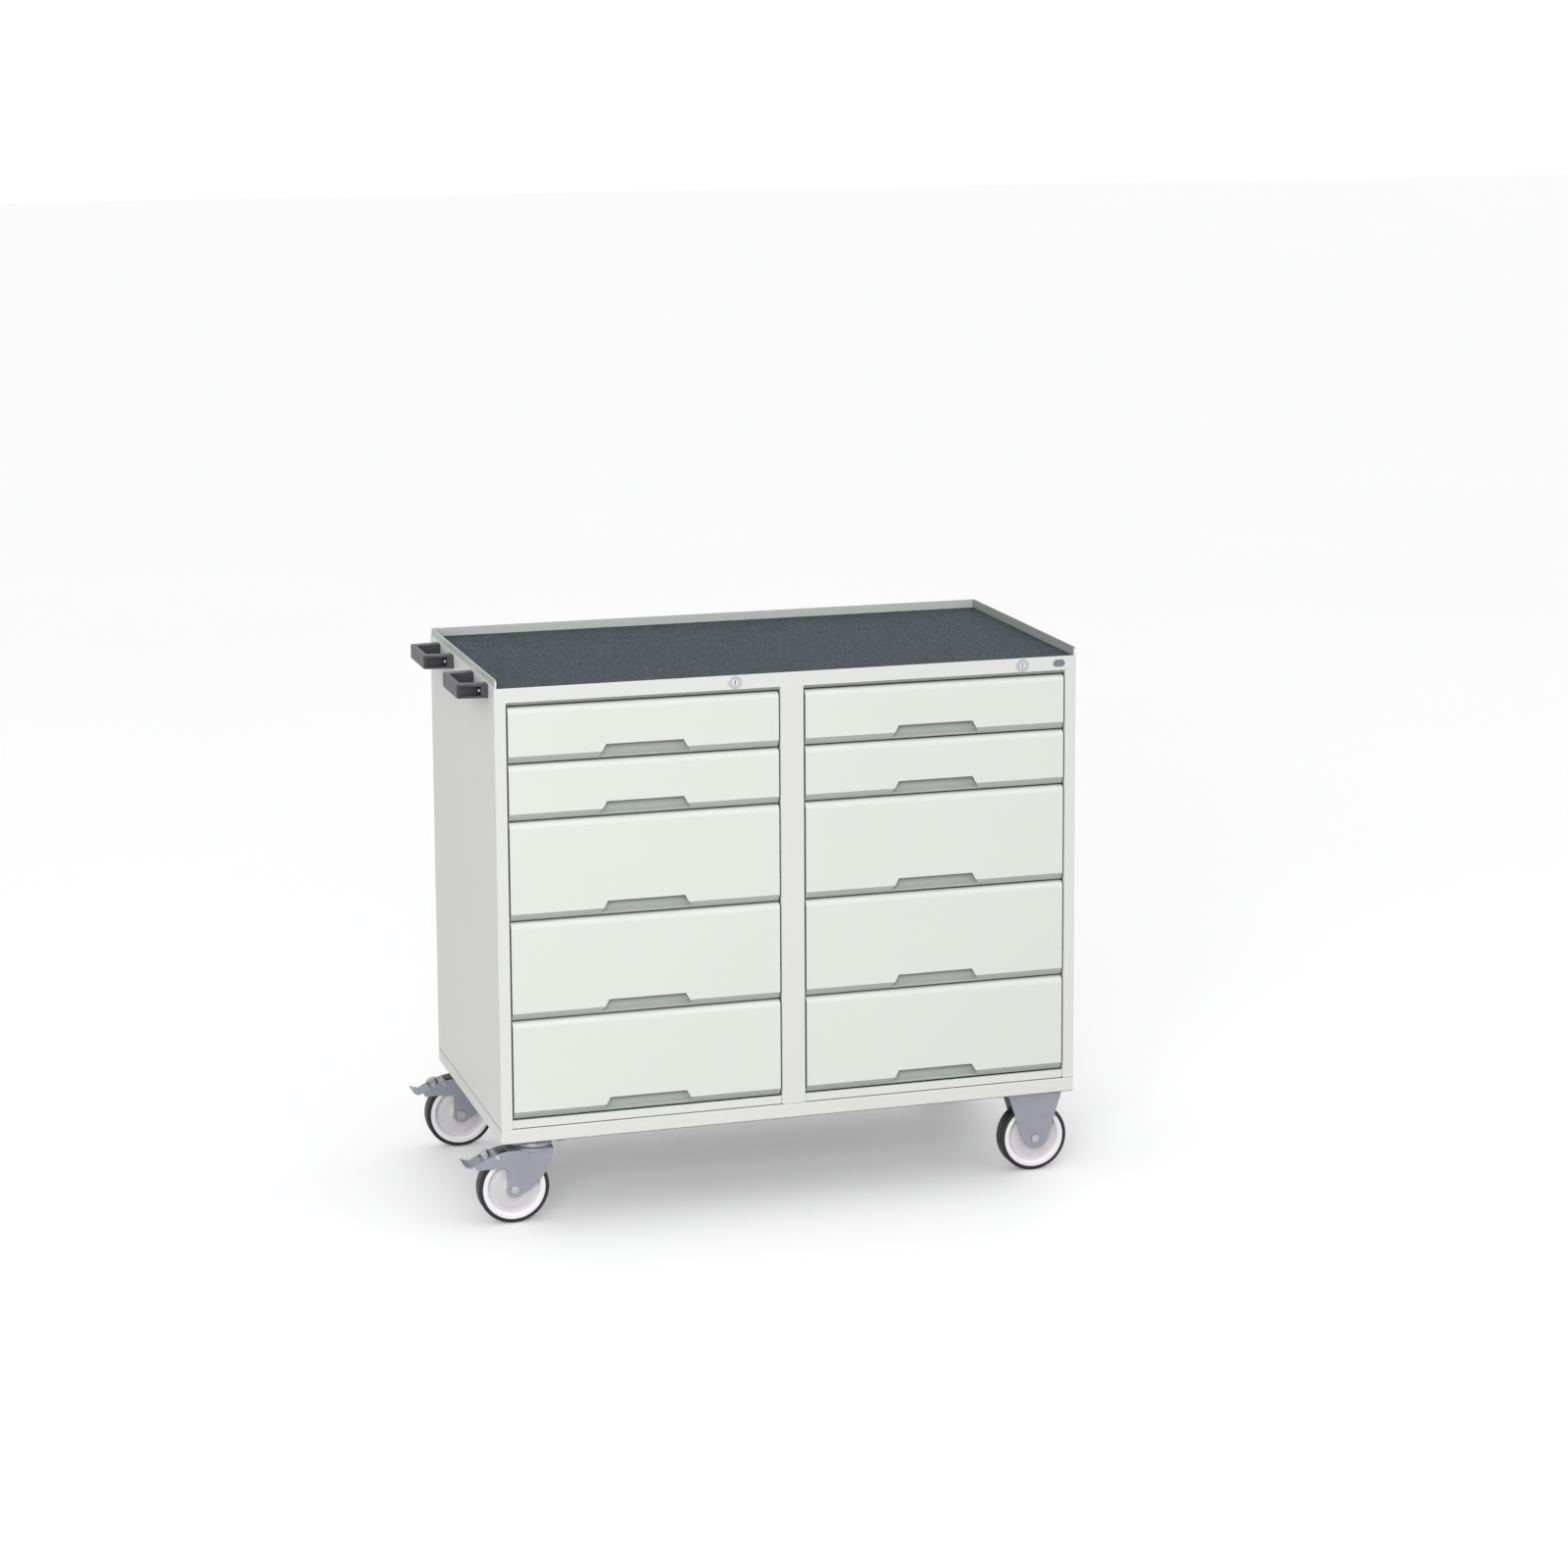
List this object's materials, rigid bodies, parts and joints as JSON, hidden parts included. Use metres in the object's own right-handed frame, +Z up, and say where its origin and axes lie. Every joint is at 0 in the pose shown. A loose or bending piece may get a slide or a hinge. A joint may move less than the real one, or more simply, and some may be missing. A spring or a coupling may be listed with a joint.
{
  "type": "mobile drawer bench",
  "caption": "Mobile sheet-steel drawer bench: two columns of lockable drawers under a lipped tray top with a mat, push handles, braked swivel castors and fixed castors.",
  "frame": {"origin": "on the floor, under the middle of the object's bounding box, with the brakes on and the drawers shut", "axes": "+X towards the fixed castors, +Y towards the back panel, +Z up; the drawers open towards -Y"},
  "size_m": [1.111, 0.5532, 0.965],
  "materials": {
    "body_paint": "light grey fine-textured powder coat",
    "front_paint": "light grey smooth powder coat",
    "inner_steel": "grey primer-smooth coat on inner sheet",
    "zinc": "bright zinc plate with a blue cast",
    "bright_steel": "polished",
    "mat": "fine-grained slate-grey mat",
    "handle_plastic": "dark grey moulded plastic",
    "wheel_plastic": "off-white moulded plastic",
    "tyre": "black rubber"
  },
  "bodies": {
    "cabinet": {"left_side_panel": "body_paint", "right_side_panel": "body_paint", "back_panel": "body_paint", "centre_post": "body_paint", "floor_panel": "body_paint", "top_tray": "body_paint", "top_mat": "mat", "base_frame": "body_paint", "castor_crossmembers": "inner_steel", "runner_uprights": "inner_steel", "column_rails": "zinc", "front_push_handle": "handle_plastic", "rear_push_handle": "handle_plastic", "panel_fasteners": "bright_steel", "lock_barrels": "bright_steel", "blank_plate": "bright_steel", "swivel_castor_plates": "zinc", "fixed_castor_forks": "zinc", "fixed_castor_axles": "bright_steel", "castor_bolts": "zinc"},
    "left_drawer_1": {"left_drawer_front_1": "front_paint", "left_drawer_box_1": "inner_steel"},
    "left_drawer_2": {"left_drawer_front_2": "front_paint", "left_drawer_box_2": "inner_steel"},
    "left_drawer_3": {"left_drawer_front_3": "front_paint", "left_drawer_box_3": "inner_steel"},
    "left_drawer_4": {"left_drawer_front_4": "front_paint", "left_drawer_box_4": "inner_steel"},
    "left_drawer_5": {"left_drawer_front_5": "front_paint", "left_drawer_box_5": "inner_steel"},
    "left_lock_plug": {"left_lock_plug": "bright_steel"},
    "left_lock_bar": {"left_lock_bar": "zinc"},
    "right_drawer_1": {"right_drawer_front_1": "front_paint", "right_drawer_box_1": "inner_steel"},
    "right_drawer_2": {"right_drawer_front_2": "front_paint", "right_drawer_box_2": "inner_steel"},
    "right_drawer_3": {"right_drawer_front_3": "front_paint", "right_drawer_box_3": "inner_steel"},
    "right_drawer_4": {"right_drawer_front_4": "front_paint", "right_drawer_box_4": "inner_steel"},
    "right_drawer_5": {"right_drawer_front_5": "front_paint", "right_drawer_box_5": "inner_steel"},
    "right_lock_plug": {"right_lock_plug": "bright_steel"},
    "right_lock_bar": {"right_lock_bar": "zinc"},
    "front_swivel": {"front_swivel_fork": "zinc", "front_swivel_axles": "bright_steel"},
    "front_brake": {"front_brake_pedal": "zinc", "front_pedal_screw": "bright_steel"},
    "front_left_roller": {"front_left_wheel": "wheel_plastic", "front_left_tyre": "tyre"},
    "front_right_roller": {"front_right_wheel": "wheel_plastic", "front_right_tyre": "tyre"},
    "rear_swivel": {"rear_swivel_fork": "zinc", "rear_swivel_axles": "bright_steel"},
    "rear_brake": {"rear_brake_pedal": "zinc", "rear_pedal_screw": "bright_steel"},
    "rear_left_roller": {"rear_left_wheel": "wheel_plastic", "rear_left_tyre": "tyre"},
    "rear_right_roller": {"rear_right_wheel": "wheel_plastic", "rear_right_tyre": "tyre"}
  },
  "joints": [
    {"name": "left_drawer_1_slide", "type": "slide", "parent": "cabinet", "child": "left_drawer_1", "axis": [0, -1, 0], "range_m": [0, 0.38]},
    {"name": "left_drawer_2_slide", "type": "slide", "parent": "cabinet", "child": "left_drawer_2", "axis": [0, -1, 0], "range_m": [0, 0.38]},
    {"name": "left_drawer_3_slide", "type": "slide", "parent": "cabinet", "child": "left_drawer_3", "axis": [0, -1, 0], "range_m": [0, 0.38]},
    {"name": "left_drawer_4_slide", "type": "slide", "parent": "cabinet", "child": "left_drawer_4", "axis": [0, -1, 0], "range_m": [0, 0.38]},
    {"name": "left_drawer_5_slide", "type": "slide", "parent": "cabinet", "child": "left_drawer_5", "axis": [0, -1, 0], "range_m": [0, 0.38]},
    {"name": "left_lock_turn", "type": "hinge", "parent": "cabinet", "child": "left_lock_plug", "pos_m": [-0.0715, -0.275, 0.9375], "axis": [0, 1, 0], "range_deg": [0, 90]},
    {"name": "left_lock_lift", "type": "slide", "parent": "cabinet", "child": "left_lock_bar", "axis": [0, 0, 1], "range_m": [0, 0.008]},
    {"name": "right_drawer_1_slide", "type": "slide", "parent": "cabinet", "child": "right_drawer_1", "axis": [0, -1, 0], "range_m": [0, 0.38]},
    {"name": "right_drawer_2_slide", "type": "slide", "parent": "cabinet", "child": "right_drawer_2", "axis": [0, -1, 0], "range_m": [0, 0.38]},
    {"name": "right_drawer_3_slide", "type": "slide", "parent": "cabinet", "child": "right_drawer_3", "axis": [0, -1, 0], "range_m": [0, 0.38]},
    {"name": "right_drawer_4_slide", "type": "slide", "parent": "cabinet", "child": "right_drawer_4", "axis": [0, -1, 0], "range_m": [0, 0.38]},
    {"name": "right_drawer_5_slide", "type": "slide", "parent": "cabinet", "child": "right_drawer_5", "axis": [0, -1, 0], "range_m": [0, 0.38]},
    {"name": "right_lock_turn", "type": "hinge", "parent": "cabinet", "child": "right_lock_plug", "pos_m": [0.4545, -0.275, 0.9375], "axis": [0, 1, 0], "range_deg": [0, 90]},
    {"name": "right_lock_lift", "type": "slide", "parent": "cabinet", "child": "right_lock_bar", "axis": [0, 0, 1], "range_m": [0, 0.008]},
    {"name": "front_castor_swivel", "type": "hinge", "parent": "cabinet", "child": "front_swivel", "pos_m": [-0.4295, -0.232, 0.13], "axis": [0, 0, 1], "continuous": true},
    {"name": "front_left_wheel_spin", "type": "hinge", "parent": "front_swivel", "child": "front_left_roller", "pos_m": [-0.4675, -0.232, 0.0625], "axis": [0, 1, 0], "continuous": true},
    {"name": "front_brake_lift", "type": "hinge", "parent": "front_swivel", "child": "front_brake", "pos_m": [-0.4975, -0.232, 0.123], "axis": [0, 1, 0], "range_deg": [0, 15]},
    {"name": "front_right_wheel_spin", "type": "hinge", "parent": "cabinet", "child": "front_right_roller", "pos_m": [0.4905, -0.232, 0.0625], "axis": [0, 1, 0], "continuous": true},
    {"name": "rear_castor_swivel", "type": "hinge", "parent": "cabinet", "child": "rear_swivel", "pos_m": [-0.4295, 0.232, 0.13], "axis": [0, 0, 1], "continuous": true},
    {"name": "rear_left_wheel_spin", "type": "hinge", "parent": "rear_swivel", "child": "rear_left_roller", "pos_m": [-0.4675, 0.232, 0.0625], "axis": [0, 1, 0], "continuous": true},
    {"name": "rear_brake_lift", "type": "hinge", "parent": "rear_swivel", "child": "rear_brake", "pos_m": [-0.4975, 0.232, 0.123], "axis": [0, 1, 0], "range_deg": [0, 15]},
    {"name": "rear_right_wheel_spin", "type": "hinge", "parent": "cabinet", "child": "rear_right_roller", "pos_m": [0.4905, 0.232, 0.0625], "axis": [0, 1, 0], "continuous": true}
  ],
  "couplings": [
    {"joint": "left_lock_turn", "follows": "left_lock_lift", "rad_per_m": 196.3},
    {"joint": "right_lock_turn", "follows": "right_lock_lift", "rad_per_m": 196.3}
  ]
}
